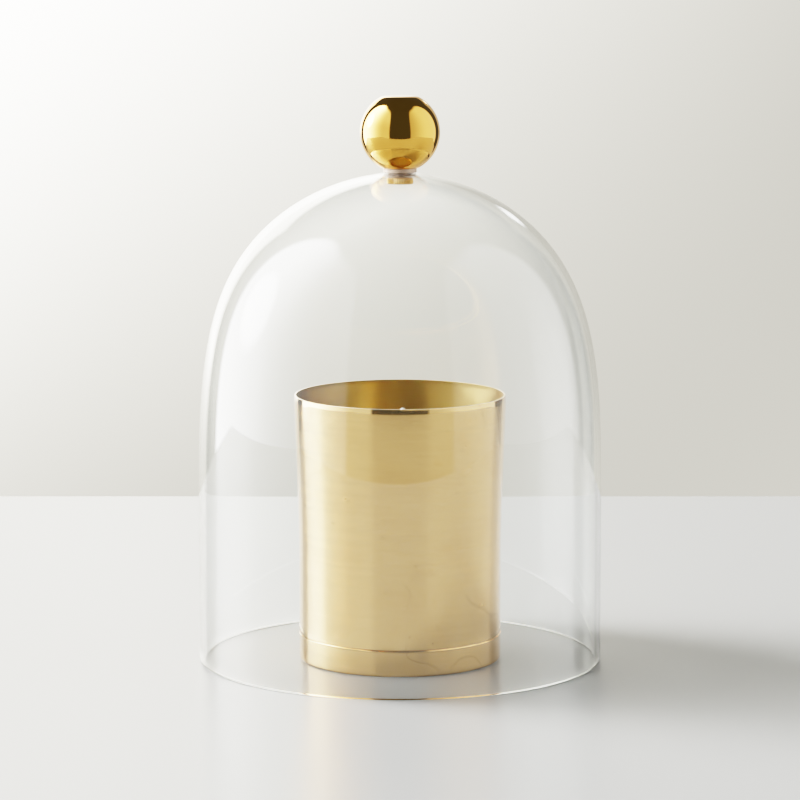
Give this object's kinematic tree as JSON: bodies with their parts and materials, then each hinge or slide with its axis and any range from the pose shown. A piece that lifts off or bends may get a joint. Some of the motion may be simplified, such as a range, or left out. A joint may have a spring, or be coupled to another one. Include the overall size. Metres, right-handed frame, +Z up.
{
  "type": "bell jar dome",
  "caption": "Clear glass bell jar dome with a brass ball knob, lifted straight up off the brass candle vessel that it covers.",
  "frame": {"origin": "on the table, at the centre of the dome's open rim and of the vessel's foot", "axes": "+Z up along the common axis of dome, knob and vessel; the wick leans towards +X; the picture is taken from -Y"},
  "size_m": [0.192, 0.192, 0.2684],
  "materials": {
    "dome_glass": "clear, blown, fire-polished rim",
    "knob_brass": "mirror polished, deep yellow gold",
    "nut_brass": "turned and knurled",
    "clear_plastic": "clear soft vinyl",
    "stud_steel": "zinc plated",
    "vessel_brass": "lacquered, satin polish with fine turning lines",
    "candle_wax": "smooth, dark amber, slightly translucent",
    "wick_cotton": "braided cotton",
    "tab_tin": "tinned"
  },
  "bodies": {
    "vessel": {"vessel_wall": "vessel_brass", "vessel_base": "vessel_brass", "wax_fill": "candle_wax", "wick": "wick_cotton", "wick_tab": "tab_tin"},
    "dome": {"glass_dome": "dome_glass", "ball_knob": "knob_brass", "knob_gasket": "clear_plastic", "hole_sleeve": "clear_plastic", "inner_washer": "clear_plastic", "knurled_nut": "nut_brass", "threaded_stud": "stud_steel"}
  },
  "joints": [
    {"name": "dome_lift", "type": "slide", "parent": "vessel", "child": "dome", "axis": [0, 0, 1], "range_m": [0, 0.16]}
  ]
}
